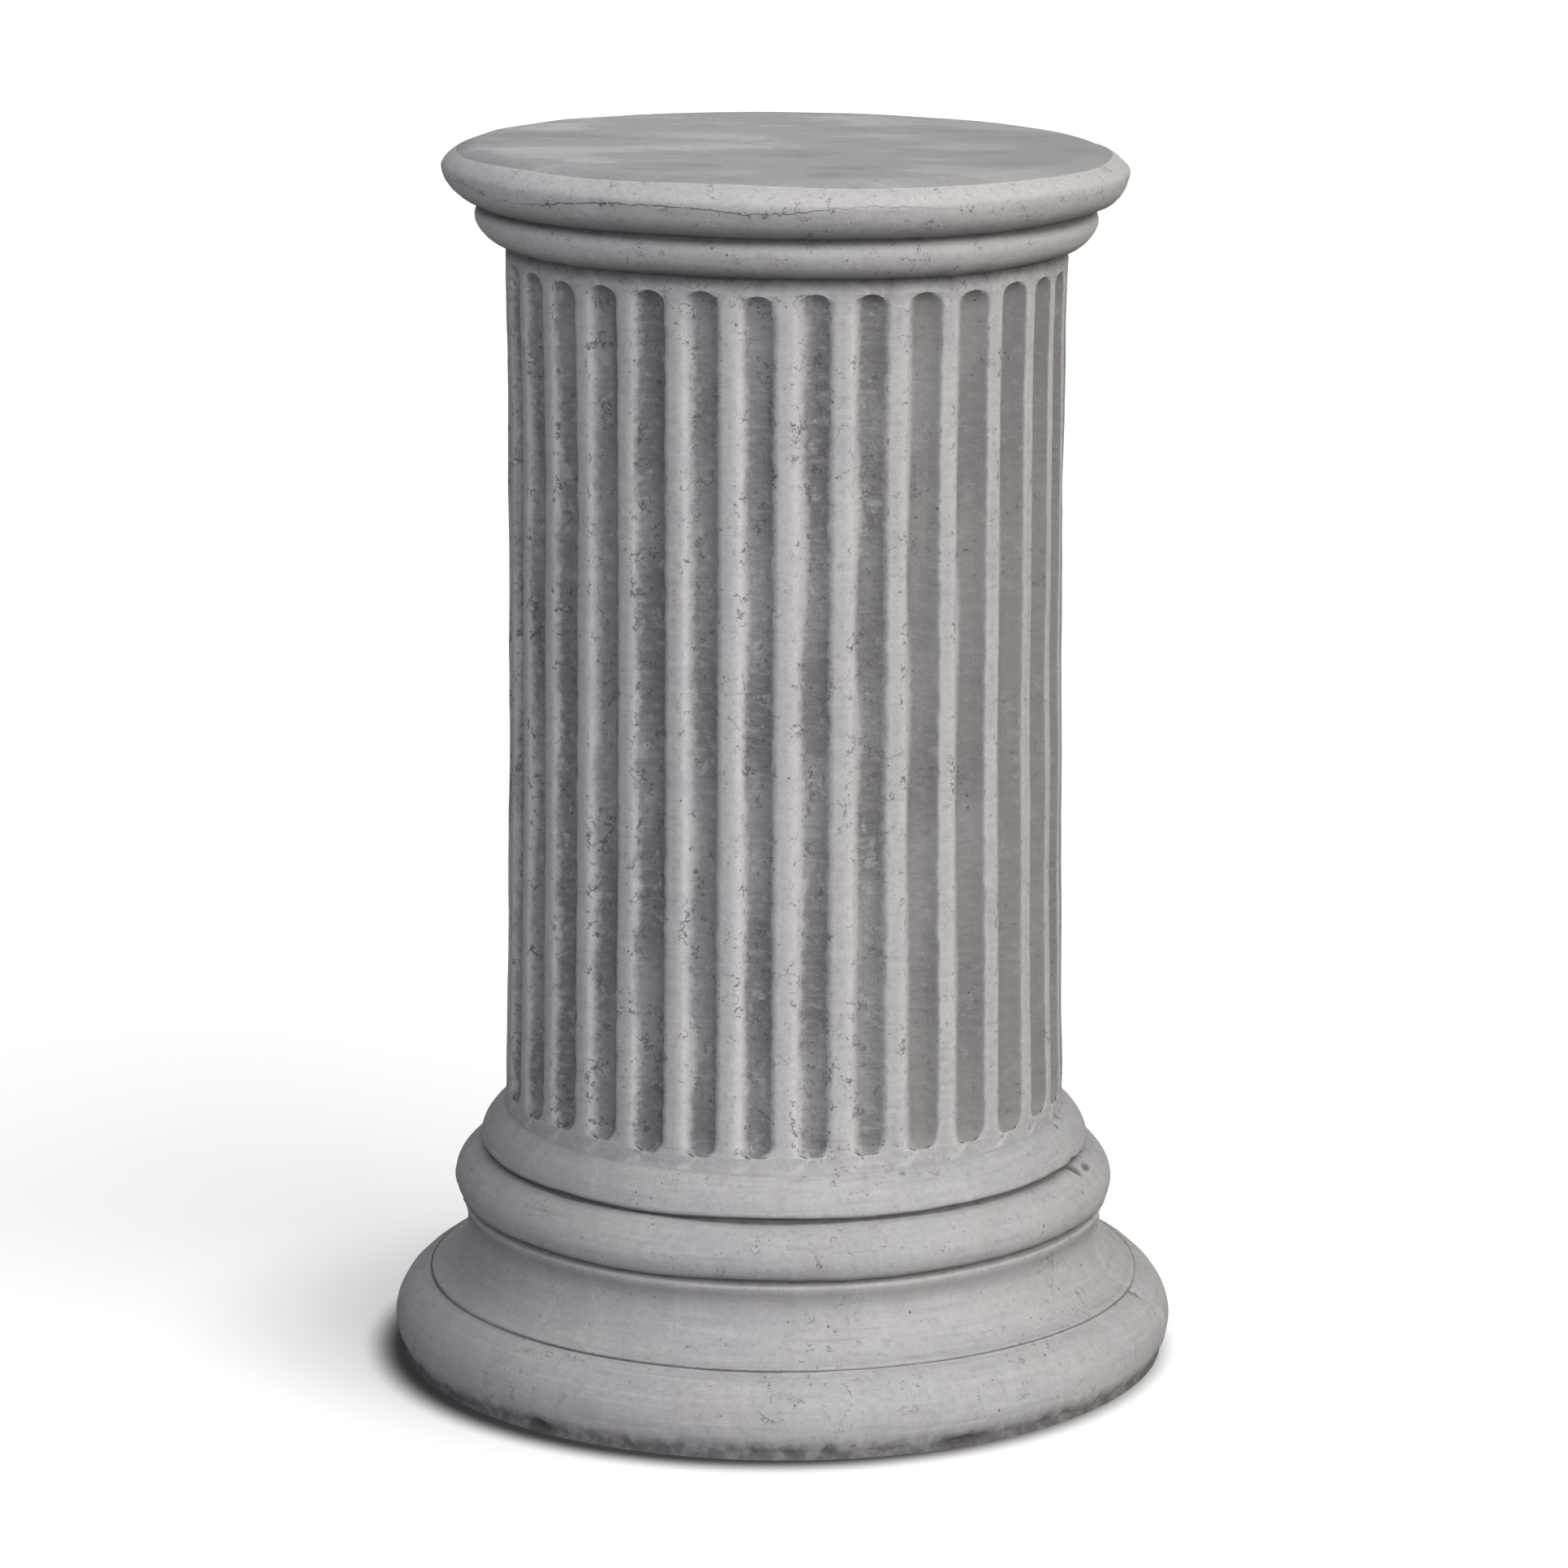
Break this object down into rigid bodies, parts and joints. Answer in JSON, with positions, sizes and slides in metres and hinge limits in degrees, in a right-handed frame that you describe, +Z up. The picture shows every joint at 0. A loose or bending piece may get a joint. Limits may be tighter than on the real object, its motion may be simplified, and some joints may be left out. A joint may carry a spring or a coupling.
{
  "type": "cast stone column pedestal",
  "caption": "Round cast stone pedestal in the form of a short fluted column, with a moulded base and a flat round top to stand an urn, bust or planter on.",
  "frame": {"origin": "middle of the underside, on the ground", "axes": "+Z up along the column's axis; -Y towards the viewer of the picture, with a land of the fluting on it"},
  "size_m": [0.3944, 0.3944, 0.611],
  "materials": {
    "cast_stone": "dry matt grey cast stone, with fine pores, hairline cracks and darker flutes"
  },
  "bodies": {
    "root": {"pedestal": "cast_stone"}
  },
  "joints": []
}
